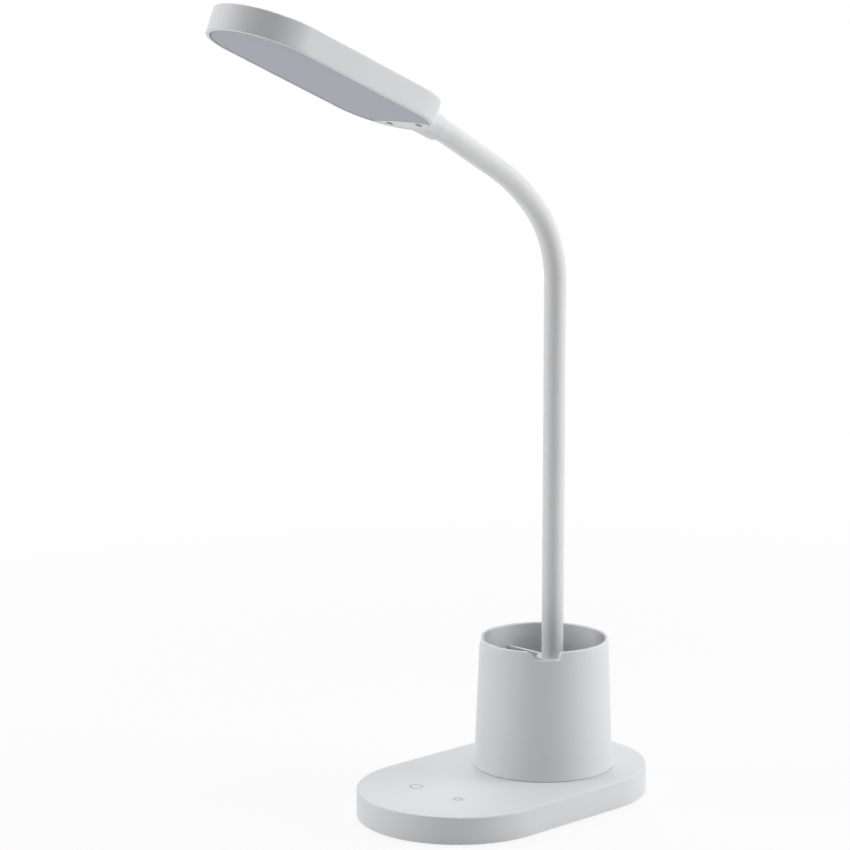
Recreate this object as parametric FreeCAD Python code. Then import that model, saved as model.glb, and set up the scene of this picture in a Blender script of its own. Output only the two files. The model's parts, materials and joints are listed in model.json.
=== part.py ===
import FreeCAD, Part
import math
import os
from FreeCAD import Placement, Rotation, Vector

# Desk lamp with an organizer cup. Millimetres, +Z up, -Y is the front.
# The origin is on the cup's axis, in the plane that the lamp rests on.

# --- base ---------------------------------------------------------------
BASE_RADIUS = 53.5
BASE_FRONT = 66.0            # centre of the front round, ahead of the cup's axis
BASE_REAR = 4.0              # centre of the rear round, behind the cup's axis
BASE_TOP = 15.5
BASE_EDGE = 0.8
BASE_FOOT_EDGE = 0.4
BASE_WALL = 2.2
BASE_SKIN = 2.2
COVER_THICK = 2.4
PAD_PROUD = 0.8
PAD_THICK = 1.2
PAD_INSET = 9.5
WEIGHT_THICK = 4.0
WEIGHT_INSET = 11.5
WEIGHT_GAP = 1.2             # from the control board and from the inlet
BOSS_RADIUS = 3.6
BOSS_BITE = 0.8              # bosses reach into the side wall
BOSS_ANGLE = 35.0            # degrees
BOSS_MID = 31.0

# --- organizer cup ------------------------------------------------------
CUP_FOOT_RADIUS = 38.6
CUP_LOW_RADIUS = 37.3
CUP_RIM_RADIUS = 34.9
CUP_HEIGHT = 70.5
CUP_FLARE = 8.0              # height over which the foot widens
CUP_WALL = 1.8
CUP_FLOOR = 4.0
CUP_SEAM = 0.5
NOTCH_Y = -22.95             # middle of the notch's flat floor
NOTCH_FLAT = 8.6
NOTCH_FRONT = 3.0            # how far the front flank leans out at the rim
NOTCH_REAR = 1.4
NOTCH_DEPTH = 4.6
NOTCH_BEND = 1.2
DIVIDER_THICK = 2.0
DIVIDER_HEIGHT = 54.5
POST_WALL = 2.5
CUP_SCREW_RING = 24.0

# --- neck ---------------------------------------------------------------
NECK_Y = 6.65
NECK_RADIUS = 5.9
CORE_RADIUS = 3.6
CORE_BORE = 2.05
CABLE_RADIUS = 1.85
NECK_STRAIGHT_TOP = 278.9
NECK_BEND_A = 60.0
NECK_TURN_A = 42.7           # degrees, as the other two turns are
NECK_BEND_B = 117.4
NECK_TURN_B = 18.5
NECK_RUN = 36.7
NECK_TURN_C = 5.7
FIRST_HINGE_Z = 100.0
HINGES = 7
LAST_HINGE_BACK = 28.0       # last hinge, before the head's socket
HINGE_GAP = 0.3

# --- neck fittings ------------------------------------------------------
FERRULE_WALL = 0.7
ROOT_RADIUS = 5.0
ROOT_RISE = 10.5             # ferrule above the cup's floor
SHOULDER_RADIUS = 7.4
SHOULDER_THICK = 2.0
NUT_FLATS = 15.0
NUT_THICK = 3.5

# --- head ---------------------------------------------------------------
HEAD_LENGTH = 138.6
HEAD_RADIUS = 29.5
HEAD_THICK = 13.2
HEAD_EDGE = 0.7
HEAD_LOW_EDGE = 0.5
HEAD_LIP = 2.0
HEAD_WALL = 3.0
HEAD_SKIN = 1.8
SOCKET_RADIUS = 7.0
SOCKET_LENGTH = 13.0
SOCKET_EDGE = 0.8
SLEEVE_DEPTH = 5.5
FERRULE_DEPTH = 24.0
PANEL_THICK = 1.4
PANEL_RECESS = 0.15
PANEL_EDGE = 0.5
PANEL_GAP = 0.35             # between the diffuser and the rim around it
PLATE_RECESS = 0.1
PLATE_DEPTH = 13.3           # plate's front edge, ahead of the head's rear end
PLATE_ARC = 103.0
PLATE_SCREW_X = 10.5
PLATE_SCREW_DEPTH = 8.9
WELL_OUTER = 2.65            # screw wells of the cover plate
WELL_INNER = 2.0
WELL_FLOOR = 0.8
WELL_DEEP = 2.4
CLAMP_WIDE = 30.4
CLAMP_LONG = 5.9
RIB_BACK = 12.0
RIB_THICK = 3.2
RIB_HOLE = 2.6
LED_BOARD_THICK = 1.0
LED_BOARD_BACK = 18.5
LED_ROWS = 3
LED_COLUMNS = 10
LED_SIDE = 12.5              # outer rows, in from the housing's side wall
LED_END = 11.3               # outer columns, in from the board's ends
LED_LONG = 3.5
LED_WIDE = 2.8
LED_HIGH = 0.8

# --- electrics in the base ----------------------------------------------
BOARD_X = 44.0
BOARD_Y = 30.0
BOARD_THICK = 1.6
BOARD_BACK = 38.4            # board's centre, behind the base's front end
BOARD_TOP = 8.0
BOARD_SCREW_X = 18.5
BOARD_SCREW_Y = 11.0
TOUCH_X = 15.7
TOUCH_RADIUS = 4.0
SOCKET_X = 8.0
SOCKET_WIDE = 7.0
SOCKET_LONG = 5.0
SOCKET_HIGH = 4.0
SOCKET_PROUD = 0.8           # sockets, past the board's rear edge
CHIP_X = 5.0
CHIP_Y = 4.0
CHIP_HIGH = 1.5
CHOKE_SIZE = 7.0
CHOKE_HIGH = 3.5
CAP_RADIUS = 2.5
CAP_HIGH = 4.4
LEAD_RADIUS = 1.1
LEAD_BEND = 6.0
LEAD_SIDE = 17.0
LEAD_JOG = 14.0              # length that a lead takes to step sideways
INLET_WIDE = 9.0
INLET_LONG = 13.0
INLET_COLLAR = 3.85
INLET_BORE = 3.05
INLET_BORE_DEPTH = 11.0
INLET_PIN = 1.05
INLET_PIN_BACK = 4.5         # pin, behind the mouth
CRADLE_WALL = 1.5

# --- screws -------------------------------------------------------------
CASE_SCREW = dict(head=2.7, high=1.2, shank=1.25, long=7.0)
CUP_SCREW = dict(head=2.75, high=1.7, shank=1.45, long=5.2)
BOARD_SCREW = dict(head=1.9, high=1.3, shank=0.9, long=4.6)
PLATE_SCREW = dict(head=1.9, high=1.2, shank=1.0, long=7.5)
LED_SCREW = dict(head=1.7, high=0.9, shank=0.8, long=2.1)

# --- clearances ---------------------------------------------------------
FIT = 0.15                   # loose fit of one moulding in another
THREAD = 0.02                # screw or ferrule in its hole, at the radius
TOUCHING = 0.05              # between pieces that lie against each other
HOLE = 0.3                   # screw through a passing hole, at the radius

# --- places worked out from the sizes above ------------------------------
UP = Vector(0, 0, 1)
SKIN_LOW = BASE_TOP - BASE_SKIN
COVER_TOP = PAD_PROUD + COVER_THICK
WEIGHT_TOP = COVER_TOP + WEIGHT_THICK
FLOOR_TOP = BASE_TOP + CUP_FLOOR
CUP_TOP = BASE_TOP + CUP_HEIGHT
BOARD_LOW = BOARD_TOP - BOARD_THICK
BOARD_CENTRE_Y = BOARD_BACK - BASE_FRONT - BASE_RADIUS
BOARD_REAR = BOARD_CENTRE_Y + BOARD_Y / 2
LEAD_Z = WEIGHT_TOP + LEAD_RADIUS + TOUCHING
ROOT_LOW = SKIN_LOW - NUT_THICK
INLET_Z = (COVER_TOP + SKIN_LOW) / 2
POST_RADIUS = NECK_RADIUS + FIT + POST_WALL
FERRULE_RADIUS = CORE_RADIUS + THREAD + FERRULE_WALL
HEAD_PITCH = 90.0 - NECK_TURN_A - NECK_TURN_B - NECK_TURN_C
HEAD_LOW = -HEAD_THICK / 2
HEAD_TOP = HEAD_THICK / 2
HEAD_INNER_TOP = HEAD_TOP - HEAD_SKIN
PANEL_TOP = HEAD_LOW + PANEL_RECESS + PANEL_THICK
BOARD_FACE = HEAD_INNER_TOP - LED_BOARD_THICK
LED_PITCH_X = 2 * (HEAD_RADIUS - HEAD_WALL - LED_SIDE) / (LED_ROWS - 1)
LED_PITCH_Y = (HEAD_LENGTH - HEAD_WALL - LED_BOARD_BACK - 2 * LED_END) / (LED_COLUMNS - 1)


# --- plain shapes -------------------------------------------------------
def stadium(radius, front, rear, z):
    """Flat face: two half circles about (0, front) and (0, rear), joined by straight sides."""
    ends = ((radius, front), (radius, rear), (-radius, rear), (-radius, front))
    corners = [Vector(x, y, z) for x, y in ends]
    sides = [
        Part.makeLine(corners[0], corners[1]),
        Part.Arc(corners[1], Vector(0, rear + radius, z), corners[2]).toShape(),
        Part.makeLine(corners[2], corners[3]),
        Part.Arc(corners[3], Vector(0, front - radius, z), corners[0]).toShape(),
    ]
    return Part.Face(Part.Wire(sides))


def slab(radius, front, rear, low, high):
    return stadium(radius, front, rear, low).extrude(UP * (high - low))


def block(wide, long, low, high, x=0.0, y=0.0):
    """Box centred on (x, y), from low to high."""
    return Part.makeBox(wide, long, high - low, Vector(x - wide / 2, y - long / 2, low))


def post(radius, low, high, x=0.0, y=0.0):
    return Part.makeCylinder(radius, high - low, Vector(x, y, low))


def rod(radius, rear, front, x=0.0, z=0.0):
    """Cylinder along Y, from rear forward to front."""
    return Part.makeCylinder(radius, rear - front, Vector(x, rear, z), Vector(0, -1, 0))


def screw(size, at, direction):
    """Pan-head screw: `at` is the centre of the face under the head, `direction` the way the shank points."""
    head = Part.makeCylinder(size["head"], size["high"], at - direction * size["high"], direction)
    shank = Part.makeCylinder(size["shank"], size["long"], at, direction)
    drive = size["head"] * 0.55
    slot = Part.makeBox(2 * drive, drive / 2, size["high"], Vector(-drive, -drive / 4, 0))
    cross = slot.fuse(slot.rotated(Vector(0, 0, 0), UP, 90))
    place = Placement(at - direction * (size["high"] * 1.5), Rotation(UP, direction))
    cross.Placement = place.multiply(cross.Placement)
    return head.fuse(shank).cut(cross).removeSplitter()


def rounded(points, bend):
    """Edges along straight runs that are joined by arcs of one radius."""
    edges = []
    start = points[0]
    for before, corner, after in zip(points, points[1:], points[2:]):
        back = (before - corner).normalize()
        ahead = (after - corner).normalize()
        half = back.getAngle(ahead) / 2
        reach = bend / math.tan(half)
        middle = (back + ahead).normalize() * (bend / math.sin(half) - bend)
        edges.append(Part.makeLine(start, corner + back * reach))
        edges.append(Part.Arc(corner + back * reach, corner + middle, corner + ahead * reach).toShape())
        start = corner + ahead * reach
    edges.append(Part.makeLine(start, points[-1]))
    return edges


def pipe(edges, radius):
    """Solid round bar along edges that follow each other smoothly."""
    first = edges[0]
    ring = Part.makeCircle(radius, first.valueAt(first.FirstParameter), first.tangentAt(first.FirstParameter))
    return Part.Wire(edges).makePipeShell([Part.Wire(ring)], True, True)


def fuse_all(shapes):
    return shapes[0].multiFuse(shapes[1:]).removeSplitter()


def edges_at(shape, z):
    """Edges that lie flat at one height."""
    return [e for e in shape.Edges if abs(e.BoundBox.ZMin - z) < 1e-6 and abs(e.BoundBox.ZMax - z) < 1e-6]


# --- base ---------------------------------------------------------------
def case_screw_places():
    """Bosses stand against the side wall: a pair at each round and one in the middle of each side."""
    out = BASE_RADIUS - BASE_WALL - BOSS_RADIUS + BOSS_BITE
    x = out * math.cos(math.radians(BOSS_ANGLE))
    y = out * math.sin(math.radians(BOSS_ANGLE))
    right = [(x, -BASE_FRONT - y), (out, -BOSS_MID), (x, BASE_REAR + y)]
    return right + [(-px, py) for px, py in right]


def cup_screw_places():
    angles = [math.radians(a) for a in (90, 210, 330)]
    return [(CUP_SCREW_RING * math.cos(a), CUP_SCREW_RING * math.sin(a)) for a in angles]


def board_screw_places():
    sides = (-BOARD_SCREW_X, BOARD_SCREW_X)
    ends = (-BOARD_SCREW_Y, BOARD_SCREW_Y)
    return [(x, BOARD_CENTRE_Y + y) for x in sides for y in ends]


def inlet_front():
    """The inlet's flat front lies against the round inner side of the rear wall."""
    inner = BASE_RADIUS - BASE_WALL
    return BASE_REAR + math.sqrt(inner ** 2 - (INLET_WIDE / 2) ** 2) - TOUCHING


def base_shell():
    outer = slab(BASE_RADIUS, -BASE_FRONT, BASE_REAR, PAD_PROUD, BASE_TOP)
    outer = outer.makeFillet(BASE_EDGE, edges_at(outer, BASE_TOP))
    outer = outer.makeFillet(BASE_FOOT_EDGE, edges_at(outer, PAD_PROUD))
    shell = outer.cut(slab(BASE_RADIUS - BASE_WALL, -BASE_FRONT, BASE_REAR, PAD_PROUD - 1, SKIN_LOW))
    bosses = [post(BOSS_RADIUS, COVER_TOP, SKIN_LOW + 1, x, y) for x, y in case_screw_places()]
    board_post = CASE_SCREW["shank"] + 1.4
    bosses += [post(board_post, BOARD_TOP, SKIN_LOW + 1, x, y) for x, y in board_screw_places()]
    rib_x = INLET_WIDE / 2 + FIT + CRADLE_WALL / 2
    rib_y = inlet_front() - INLET_LONG / 2
    for x in (-rib_x, rib_x):
        bosses.append(block(CRADLE_WALL, INLET_LONG - 3, INLET_Z - 2, SKIN_LOW + 1, x, rib_y))
    shell = fuse_all([shell] + bosses)
    holes = [post(CASE_SCREW["shank"] + THREAD, PAD_PROUD, COVER_TOP + CASE_SCREW["long"], x, y)
             for x, y in case_screw_places()]
    holes += [post(BOARD_SCREW["shank"] + THREAD, BOARD_LOW, BOARD_LOW + BOARD_SCREW["long"] + 0.2, x, y)
              for x, y in board_screw_places()]
    passing = CUP_SCREW["shank"] + HOLE
    holes += [post(passing, SKIN_LOW - 1, BASE_TOP + 1, x, y) for x, y in cup_screw_places()]
    holes.append(post(ROOT_RADIUS + HOLE, SKIN_LOW - 1, BASE_TOP + 1, 0, NECK_Y))
    holes.append(rod(INLET_COLLAR + FIT, BASE_REAR + BASE_RADIUS + 1, inlet_front() - 1, 0, INLET_Z))
    return shell.cut(Part.makeCompound(holes))


def base_cover():
    inset = BASE_WALL + FIT
    cover = slab(BASE_RADIUS - inset, -BASE_FRONT, BASE_REAR, PAD_PROUD, COVER_TOP)
    seat_y = inlet_front() - INLET_LONG / 2
    seat = block(INLET_WIDE - 1, INLET_LONG - 4, COVER_TOP, INLET_Z - INLET_WIDE / 2, 0, seat_y)
    cover = fuse_all([cover, seat])
    pad_radius = BASE_RADIUS - PAD_INSET + FIT
    cuts = [slab(pad_radius, -BASE_FRONT, BASE_REAR, 0, PAD_THICK)]
    for x, y in case_screw_places():
        cuts.append(post(CASE_SCREW["shank"] + HOLE, 0, COVER_TOP + 1, x, y))
        cuts.append(post(CASE_SCREW["head"] + FIT, 0, PAD_PROUD + CASE_SCREW["high"], x, y))
    return cover.cut(Part.makeCompound(cuts))


def foot_pad():
    return slab(BASE_RADIUS - PAD_INSET, -BASE_FRONT, BASE_REAR, 0, PAD_THICK)


def weight_plate():
    """Steel plate that fills the base between the control board and the inlet."""
    radius = BASE_RADIUS - WEIGHT_INSET
    front = BOARD_REAR + WEIGHT_GAP + radius
    rear = inlet_front() - INLET_LONG - WEIGHT_GAP - radius
    return slab(radius, front, rear, COVER_TOP, WEIGHT_TOP)


def cover_screws():
    z = PAD_PROUD + CASE_SCREW["high"]
    size = dict(CASE_SCREW, long=CASE_SCREW["long"] - 0.5)
    return [screw(size, Vector(x, y, z), UP) for x, y in case_screw_places()]


# --- electrics in the base ----------------------------------------------
def control_board():
    board = block(BOARD_X, BOARD_Y, BOARD_LOW, BOARD_TOP, 0, BOARD_CENTRE_Y)
    radius = BOARD_SCREW["shank"] + HOLE
    return board.cut(Part.makeCompound([post(radius, 0, BASE_TOP, x, y) for x, y in board_screw_places()]))


def board_screws():
    return [screw(BOARD_SCREW, Vector(x, y, BOARD_LOW), UP) for x, y in board_screw_places()]


def driver_chip():
    return block(CHIP_X, CHIP_Y, BOARD_TOP, BOARD_TOP + CHIP_HIGH, 0, BOARD_CENTRE_Y + CHIP_Y / 2)


def choke():
    y = BOARD_CENTRE_Y - CHOKE_SIZE
    return block(CHOKE_SIZE, CHOKE_SIZE, BOARD_TOP, BOARD_TOP + CHOKE_HIGH, -CHOKE_SIZE / 2, y)


def capacitors():
    y = BOARD_CENTRE_Y - CHOKE_SIZE
    places = (2 * CAP_RADIUS - 1, 4 * CAP_RADIUS)
    return [post(CAP_RADIUS, BOARD_TOP, BOARD_TOP + CAP_HIGH, x, y) for x in places]


def lead_sockets():
    y = BOARD_REAR - SOCKET_LONG / 2 + SOCKET_PROUD
    high = BOARD_TOP + SOCKET_HIGH
    return [block(SOCKET_WIDE, SOCKET_LONG, BOARD_TOP, high, x, y) for x in (-SOCKET_X, SOCKET_X)]


def touch_contacts():
    return [post(TOUCH_RADIUS, BOARD_TOP, SKIN_LOW, x, BOARD_CENTRE_Y) for x in (-TOUCH_X, TOUCH_X)]


def power_inlet():
    front = inlet_front()
    half = INLET_WIDE / 2
    body = block(INLET_WIDE, INLET_LONG, INLET_Z - half, INLET_Z + half, 0, front - INLET_LONG / 2)
    collar = rod(INLET_COLLAR, front + BASE_WALL, front - 1, 0, INLET_Z)
    bore = rod(INLET_BORE, front + BASE_WALL + 1, front + BASE_WALL - INLET_BORE_DEPTH, 0, INLET_Z)
    return fuse_all([body, collar]).cut(bore)


def inlet_pin():
    front = inlet_front() + BASE_WALL
    return rod(INLET_PIN, front - INLET_PIN_BACK, front - INLET_BORE_DEPTH, 0, INLET_Z)


def socket_rear():
    return BOARD_REAR + SOCKET_PROUD + TOUCHING


def inlet_lead():
    """From the inlet, round the neck's nut on the right and forward to the control board."""
    back = inlet_front() - INLET_LONG
    step = LEAD_SIDE / 2
    ahead = BOARD_REAR + LEAD_JOG
    route = [(0, back), (0, back - step), (LEAD_SIDE, back - 3 * step), (LEAD_SIDE, ahead),
             (SOCKET_X, ahead - LEAD_SIDE + SOCKET_X), (SOCKET_X, socket_rear())]
    return pipe(rounded([Vector(x, y, LEAD_Z) for x, y in route], LEAD_BEND / 2), LEAD_RADIUS)


def lamp_lead():
    """From the neck's cable, down out of the ferrule and forward to the control board."""
    top = Vector(0, NECK_Y, ROOT_LOW + 3)
    middle = (NECK_Y + socket_rear()) / 2
    route = [(0, NECK_Y), (0, middle + LEAD_JOG / 2),
             (-SOCKET_X, middle - LEAD_JOG / 2), (-SOCKET_X, socket_rear())]
    return pipe(rounded([top] + [Vector(x, y, LEAD_Z) for x, y in route], LEAD_BEND / 2), LEAD_RADIUS)


# --- organizer cup ------------------------------------------------------
def notch_cutter():
    """A level seat across both walls, with flanks that flare out at the rim."""
    half = NOTCH_FLAT / 2
    low = CUP_TOP - NOTCH_DEPTH
    high = CUP_TOP + 0.3
    outline = [(-half - NOTCH_FRONT - 4, high), (-half - NOTCH_FRONT, high), (-half, low),
               (half, low), (half + NOTCH_REAR, high), (half + NOTCH_REAR + 4, high)]
    reach = CUP_FOOT_RADIUS + 1
    points = [Vector(-reach, NOTCH_Y + y, z) for y, z in outline]
    edges = rounded(points, NOTCH_BEND)
    lift = Vector(0, 0, 3)
    edges.append(Part.makeLine(points[-1], points[-1] + lift))
    edges.append(Part.makeLine(points[-1] + lift, points[0] + lift))
    edges.append(Part.makeLine(points[0] + lift, points[0]))
    return Part.Face(Part.Wire(edges)).extrude(Vector(2 * reach, 0, 0))


def flare(foot, low, rim):
    """Arc up from the foot that runs on smoothly into the leaning wall, from low to rim."""
    chord = low - foot
    turn = 2 * chord.getAngle(rim - low)
    inward = Vector(-chord.z, 0, chord.x).normalize()
    middle = (foot + low) / 2 + inward * (chord.Length / 2 * math.tan(turn / 4))
    return Part.Arc(foot, middle, low).toShape()


def organizer_cup():
    seam = Vector(CUP_FOOT_RADIUS - CUP_SEAM, 0, BASE_TOP)
    foot = Vector(CUP_FOOT_RADIUS, 0, BASE_TOP + CUP_SEAM)
    low = foot + Vector(CUP_LOW_RADIUS - CUP_FOOT_RADIUS, 0, CUP_FLARE)
    rim_out = Vector(CUP_RIM_RADIUS, 0, CUP_TOP - CUP_WALL / 2)
    rim_top = Vector(CUP_RIM_RADIUS - CUP_WALL / 2, 0, CUP_TOP)
    rim_in = rim_out - Vector(CUP_WALL, 0, 0)
    floor_edge = Vector(CUP_LOW_RADIUS - CUP_WALL, 0, FLOOR_TOP)
    floor_mid = Vector(0, 0, FLOOR_TOP)
    under_mid = Vector(0, 0, BASE_TOP)
    outline = [
        Part.makeLine(under_mid, seam),
        Part.makeLine(seam, foot),
        flare(foot, low, rim_out),
        Part.makeLine(low, rim_out),
        Part.Arc(rim_out, rim_top, rim_in).toShape(),
        Part.makeLine(rim_in, floor_edge),
        Part.makeLine(floor_edge, floor_mid),
        Part.makeLine(floor_mid, under_mid),
    ]
    cup = Part.Face(Part.Wire(outline)).revolve(Vector(0, 0, 0), UP, 360)
    holes = [notch_cutter(), post(ROOT_RADIUS + HOLE, BASE_TOP - 1, FLOOR_TOP + 1, 0, NECK_Y)]
    depth = CUP_SCREW["long"] - BASE_SKIN + 0.2
    thread = CUP_SCREW["shank"] + THREAD
    holes += [post(thread, BASE_TOP - 1, BASE_TOP + depth, x, y) for x, y in cup_screw_places()]
    return cup.cut(Part.makeCompound(holes))


def cup_divider():
    """Wall across the cup with a hollow post in it, which the neck stands in."""
    top = FLOOR_TOP + DIVIDER_HEIGHT
    low, high = [radius - CUP_WALL - FIT for radius in (CUP_LOW_RADIUS, CUP_RIM_RADIUS)]
    inside = Part.makeCone(low, high, CUP_TOP - FLOOR_TOP, Vector(0, 0, FLOOR_TOP))
    wall = block(2 * CUP_FOOT_RADIUS, DIVIDER_THICK, FLOOR_TOP, top, 0, NECK_Y).common(inside)
    body = fuse_all([wall, post(POST_RADIUS, FLOOR_TOP, top, 0, NECK_Y)])
    bores = [post(NECK_RADIUS + FIT, FLOOR_TOP - 1, top + 1, 0, NECK_Y),
             post(SHOULDER_RADIUS + FIT, FLOOR_TOP - 1, FLOOR_TOP + SHOULDER_THICK + FIT, 0, NECK_Y)]
    return body.cut(Part.makeCompound(bores))


def cup_screws():
    return [screw(CUP_SCREW, Vector(x, y, SKIN_LOW), UP) for x, y in cup_screw_places()]


# --- neck ---------------------------------------------------------------
def arc_length(radius, turn):
    return radius * math.radians(turn)


# Length and radius of each stretch of the neck's centre line, from the resting plane up to inside the head.
NECK_RUNS = (
    (NECK_STRAIGHT_TOP, None),
    (arc_length(NECK_BEND_A, NECK_TURN_A), NECK_BEND_A),
    (arc_length(NECK_BEND_B, NECK_TURN_B), NECK_BEND_B),
    (NECK_RUN, None),
    (arc_length(NECK_BEND_B, NECK_TURN_C), NECK_BEND_B),
    (2 * FERRULE_DEPTH, None),
)
SOCKET_AT = sum(length for length, radius in NECK_RUNS[:-1])
LAST_HINGE = SOCKET_AT - LAST_HINGE_BACK
HINGE_STEP = (LAST_HINGE - FIRST_HINGE_Z) / (HINGES - 1)


def neck_at(along):
    """Point and direction on the neck's centre line, `along` measured from the resting plane."""
    y, z, lean = NECK_Y, 0.0, 0.0
    for length, radius in NECK_RUNS:
        step = min(along, length)
        if radius is None:
            y -= step * math.sin(lean)
            z += step * math.cos(lean)
        else:
            turn = step / radius
            y -= radius * (math.cos(lean) - math.cos(lean + turn))
            z += radius * (math.sin(lean + turn) - math.sin(lean))
            lean += turn
        along -= step
        if along <= 0:
            break
    return Vector(0, y, z), Vector(0, -math.sin(lean), math.cos(lean))


def neck_edges(low, high):
    """Lines and arcs of the centre line between two places on it."""
    edges = []
    start = 0.0
    for length, radius in NECK_RUNS:
        a = max(low, start)
        b = min(high, start + length)
        start += length
        if b - a < 1e-6:
            continue
        if radius is None:
            edges.append(Part.makeLine(neck_at(a)[0], neck_at(b)[0]))
        else:
            edges.append(Part.Arc(neck_at(a)[0], neck_at((a + b) / 2)[0], neck_at(b)[0]).toShape())
    return edges


def hinge_at(number):
    """Hinges are numbered from 1 at the bottom."""
    return FIRST_HINGE_Z + (number - 1) * HINGE_STEP


def neck_layer(low, high, outer, inner, cupped, domed):
    """One tube of the neck between two places. Its lower end is hollowed around the hinge below it,
    and its upper end is a dome about the hinge above it, so that they turn with an even gap."""
    edges = neck_edges(low, high)
    end, ahead = neck_at(high)
    start, onward = neck_at(low)
    body = pipe(edges, outer)
    if domed:
        dome = Part.makeSphere(NECK_RADIUS, end, ahead, 0, 90, 360)
        if outer < NECK_RADIUS:
            dome = dome.common(Part.makeCylinder(outer, NECK_RADIUS, end, ahead))
        body = body.fuse(dome)
    if inner:
        past = NECK_RADIUS + 1
        bore = [Part.makeLine(start - onward, start)] + edges + [Part.makeLine(end, end + ahead * past)]
        body = body.cut(pipe(bore, inner))
    if cupped:
        body = body.cut(Part.makeSphere(NECK_RADIUS + HINGE_GAP, start))
    return body.removeSplitter()


def neck_layers(number):
    """Sleeve, steel core and cable of the neck's piece between hinge `number` and the next one."""
    cupped = number > 0
    domed = number < HINGES
    sleeve_low = core_low = cable_low = hinge_at(number)
    sleeve_high = core_high = cable_high = hinge_at(number + 1)
    if not cupped:
        sleeve_low = FLOOR_TOP + ROOT_RISE
        core_low = ROOT_LOW + 0.5
        cable_low = ROOT_LOW + 3
    if not domed:
        sleeve_high = SOCKET_AT + SLEEVE_DEPTH
        core_high = SOCKET_AT + FERRULE_DEPTH - 2
        cable_high = SOCKET_AT + FERRULE_DEPTH + 1.5
    sleeve = neck_layer(sleeve_low, sleeve_high, NECK_RADIUS, CORE_RADIUS + THREAD, cupped, domed)
    core = neck_layer(core_low, core_high, CORE_RADIUS, CORE_BORE, cupped, domed)
    cable = neck_layer(cable_low, cable_high, CABLE_RADIUS, 0, cupped, domed)
    return sleeve, core, cable


def root_ferrule():
    top = FLOOR_TOP + ROOT_RISE
    body = fuse_all([post(ROOT_RADIUS, ROOT_LOW, top, 0, NECK_Y),
                     post(SHOULDER_RADIUS, FLOOR_TOP, FLOOR_TOP + SHOULDER_THICK, 0, NECK_Y)])
    return body.cut(post(CORE_RADIUS + THREAD, ROOT_LOW - 1, top + 1, 0, NECK_Y))


def root_nut():
    corner = NUT_FLATS / math.sqrt(3)
    angles = [math.radians(60 * i) for i in range(7)]
    points = [Vector(corner * math.cos(a), NECK_Y + corner * math.sin(a), ROOT_LOW) for a in angles]
    nut = Part.Face(Part.makePolygon(points)).extrude(UP * NUT_THICK)
    return nut.cut(post(ROOT_RADIUS + THREAD, ROOT_LOW - 1, SKIN_LOW + 1, 0, NECK_Y))


# --- head, in its own frame: the neck comes in along -Y at the origin, the light shines to -Z ---------
def head_y(depth):
    """Place along the head, measured forward from the housing's rear end."""
    return -SOCKET_LENGTH - depth


def head_slab(inset, low, high):
    radius = HEAD_RADIUS - inset
    return slab(radius, head_y(HEAD_LENGTH - HEAD_RADIUS), head_y(HEAD_RADIUS), low, high)


def plate_disc(grow):
    """Round area whose front edge parts the cover plate from the diffuser."""
    centre_y = head_y(PLATE_DEPTH) + PLATE_ARC
    return post(PLATE_ARC + grow, HEAD_LOW - 1, HEAD_TOP, 0, centre_y)


def plate_screw_places():
    return [(-PLATE_SCREW_X, head_y(PLATE_SCREW_DEPTH)), (PLATE_SCREW_X, head_y(PLATE_SCREW_DEPTH))]


def led_screw_places():
    x = LED_PITCH_X * 1.5
    middle = (LED_BOARD_BACK + HEAD_LENGTH - HEAD_WALL) / 2
    reach = LED_PITCH_Y * 3
    return [(sx, head_y(d)) for sx in (-x, x) for d in (middle - reach, middle + reach)]


def head_shell():
    outer = head_slab(0, HEAD_LOW, HEAD_TOP)
    outer = outer.makeFillet(HEAD_EDGE, edges_at(outer, HEAD_TOP))
    outer = outer.makeFillet(HEAD_LOW_EDGE, edges_at(outer, HEAD_LOW))
    mouth = head_slab(HEAD_LIP, HEAD_LOW - 1, PANEL_TOP)
    shell = outer.cut(head_slab(HEAD_WALL, PANEL_TOP, HEAD_INNER_TOP).fuse(mouth))
    socket = rod(SOCKET_RADIUS, 0, head_y(0))
    socket = socket.makeFillet(SOCKET_EDGE, [e for e in socket.Edges if abs(e.BoundBox.YMin) < 1e-6])
    inside = head_slab(0, PANEL_TOP + FIT, HEAD_TOP - HEAD_EDGE)
    clamp_back = PLATE_SCREW_DEPTH - CLAMP_LONG / 2
    tube = rod(SOCKET_RADIUS, head_y(-1), head_y(clamp_back))
    tube_in = tube.common(inside)
    neck_root = tube.common(block(4 * SOCKET_RADIUS, 2 + HEAD_LIP, HEAD_LOW, HEAD_TOP, 0, head_y(0)))
    cradle = block(2 * SOCKET_RADIUS, CLAMP_LONG, 0, HEAD_INNER_TOP + 0.5, 0, head_y(PLATE_SCREW_DEPTH))
    posts = [post(PLATE_SCREW["shank"] + 2, 0, HEAD_INNER_TOP + 0.5, x, y) for x, y in plate_screw_places()]
    rib_y = head_y(RIB_BACK + RIB_THICK / 2)
    rib = block(2 * HEAD_RADIUS, RIB_THICK, PANEL_TOP, HEAD_INNER_TOP + 0.5, 0, rib_y)
    rib = rib.common(head_slab(HEAD_WALL / 2, HEAD_LOW, HEAD_TOP))
    shell = fuse_all([shell, socket, tube_in, neck_root, cradle, rib] + posts)
    cuts = [rod(NECK_RADIUS + FIT, 1, -SLEEVE_DEPTH - FIT),
            rod(FERRULE_RADIUS + THREAD, 0, head_y(RIB_BACK)),
            rod(RIB_HOLE, head_y(RIB_BACK - 1), head_y(RIB_BACK + RIB_THICK + 1))]
    cuts += [post(PLATE_SCREW["shank"] + THREAD, -1, PLATE_SCREW["long"] + WELL_DEEP + HEAD_LOW, x, y)
             for x, y in plate_screw_places()]
    cuts += [post(LED_SCREW["shank"] + THREAD, 0, BOARD_FACE + LED_SCREW["long"] + 0.1, x, y)
             for x, y in led_screw_places()]
    return shell.cut(Part.makeCompound(cuts))


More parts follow.
